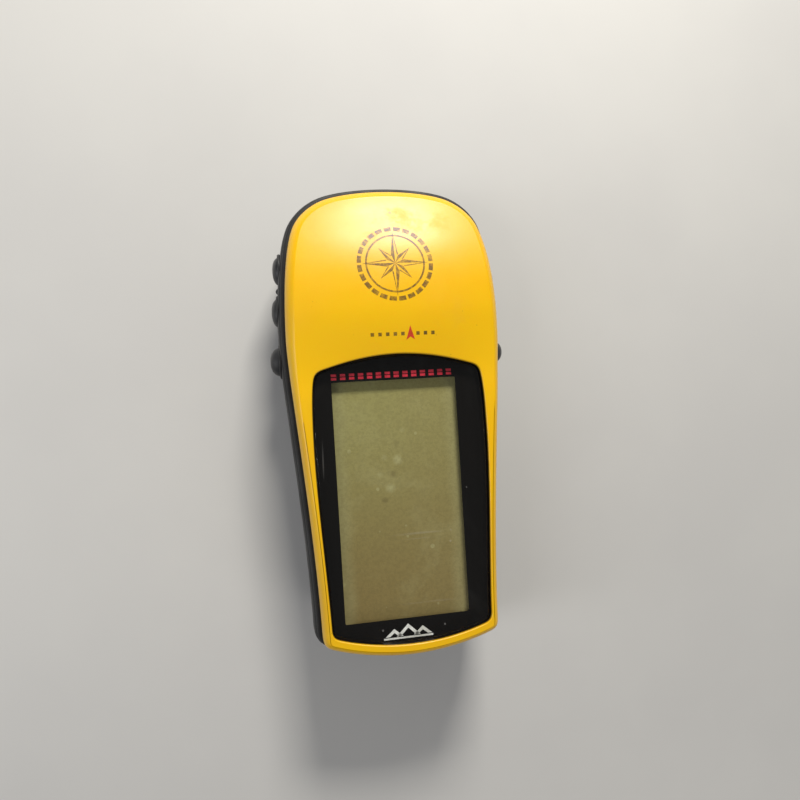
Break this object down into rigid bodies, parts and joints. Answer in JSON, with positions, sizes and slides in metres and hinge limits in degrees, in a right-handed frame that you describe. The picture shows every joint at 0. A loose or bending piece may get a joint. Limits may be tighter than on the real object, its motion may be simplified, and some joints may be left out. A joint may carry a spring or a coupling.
{
  "type": "handheld satellite navigator",
  "caption": "Handheld satellite navigator: domed yellow front shell with a long display window, rubber grip band with side keys, battery bay with a latched door.",
  "frame": {"origin": "on the surface it lies on, under the middle of its length and width", "axes": "+X to the right of the display, +Y towards the top end with the antenna, +Z out of the display"},
  "size_m": [0.0582, 0.1126, 0.0297],
  "materials": {
    "yellow_shell": "satin moulded",
    "clear_lens": "polished clear",
    "mask_print": "screen printed",
    "lcd_glass": "polarised display glass",
    "white_plastic": "moulded",
    "elastomer": "zebra strip",
    "circuit_board": "solder mask",
    "seal_foam": "soft seal",
    "ceramic": "sintered",
    "can_steel": "tinned",
    "chip_black": "moulded",
    "black_plastic": "fine spark texture",
    "door_plastic": "fine spark texture",
    "rubber_band": "matt rubber",
    "key_rubber": "matt rubber",
    "cap_rubber": "matt rubber",
    "latch_steel": "satin stainless",
    "screw_steel": "zinc plated",
    "contact_nickel": "nickel plated",
    "pin_brass": "gold plated",
    "cell_wrap": "plastic sleeve on a metal can"
  },
  "bodies": {
    "case": {"front_shell": "yellow_shell", "display_lens": "clear_lens", "lens_mask": "mask_print", "lcd_panel": "lcd_glass", "backlight_panel": "white_plastic", "lcd_tray": "white_plastic", "lcd_connector": "elastomer", "main_board": "circuit_board", "antenna_pad": "seal_foam", "antenna_patch": "ceramic", "rf_shield": "can_steel", "processor_chip": "chip_black", "receiver_chip": "chip_black", "memory_chip": "chip_black", "crystal_can": "can_steel", "backup_cell": "can_steel", "rear_housing": "black_plastic", "housing_seal": "seal_foam", "grip_band": "rubber_band", "battery_left": "cell_wrap", "battery_right": "cell_wrap", "contact_plate_left": "contact_nickel", "contact_plate_right": "contact_nickel", "contact_spring_left": "contact_nickel", "contact_spring_right": "contact_nickel", "contact_bridge": "contact_nickel", "data_connector": "chip_black", "port_cap_anchor": "cap_rubber", "board_screw_1": "screw_steel", "data_pin_1": "pin_brass", "board_screw_2": "screw_steel", "data_pin_2": "pin_brass", "board_screw_3": "screw_steel", "data_pin_3": "pin_brass", "board_screw_4": "screw_steel", "data_pin_4": "pin_brass", "switch_up": "chip_black", "switch_down": "chip_black", "switch_enter": "chip_black", "switch_page": "chip_black", "switch_power": "chip_black"},
    "key_up": {"button_up": "key_rubber", "plunger_up": "white_plastic"},
    "key_down": {"button_down": "key_rubber", "plunger_down": "white_plastic"},
    "key_enter": {"button_enter": "key_rubber", "plunger_enter": "white_plastic"},
    "key_page": {"button_page": "key_rubber", "plunger_page": "white_plastic"},
    "key_power": {"button_power": "key_rubber", "plunger_power": "white_plastic"},
    "battery_door": {"battery_door": "door_plastic", "door_seal": "seal_foam", "latch_seal": "seal_foam"},
    "latch_post": {"latch_post": "latch_steel", "latch_clip": "can_steel"},
    "latch_ring": {"latch_ring": "latch_steel"},
    "port_cap": {"port_cap": "cap_rubber"}
  },
  "joints": [
    {"name": "up_press", "type": "slide", "parent": "case", "child": "key_up", "axis": [1, 0, 0], "range_m": [0, 0.0008], "stiffness_N_per_m": 1500},
    {"name": "down_press", "type": "slide", "parent": "case", "child": "key_down", "axis": [1, 0, 0], "range_m": [0, 0.0008], "stiffness_N_per_m": 1500},
    {"name": "enter_press", "type": "slide", "parent": "case", "child": "key_enter", "axis": [1, 0, 0], "range_m": [0, 0.0008], "stiffness_N_per_m": 1500},
    {"name": "page_press", "type": "slide", "parent": "case", "child": "key_page", "axis": [-1, 0, 0], "range_m": [0, 0.0008], "stiffness_N_per_m": 1500},
    {"name": "power_press", "type": "slide", "parent": "case", "child": "key_power", "axis": [-1, 0, 0], "range_m": [0, 0.0008], "stiffness_N_per_m": 1500},
    {"name": "door_hinge", "type": "hinge", "parent": "case", "child": "battery_door", "pos_m": [0, 0.01095, 0.0001], "axis": [1, 0, 0], "range_deg": [0, 60]},
    {"name": "latch_turn", "type": "hinge", "parent": "battery_door", "child": "latch_post", "pos_m": [0, -0.034, 0.003], "axis": [0, 0, 1], "range_deg": [0, 90]},
    {"name": "ring_flip", "type": "hinge", "parent": "latch_post", "child": "latch_ring", "pos_m": [0, -0.034, 0.00125], "axis": [-1, 0, 0], "range_deg": [0, 100]},
    {"name": "cap_hinge", "type": "hinge", "parent": "case", "child": "port_cap", "pos_m": [0, 0.0416, 0.0027], "axis": [1, 0, 0], "range_deg": [0, 110]}
  ]
}
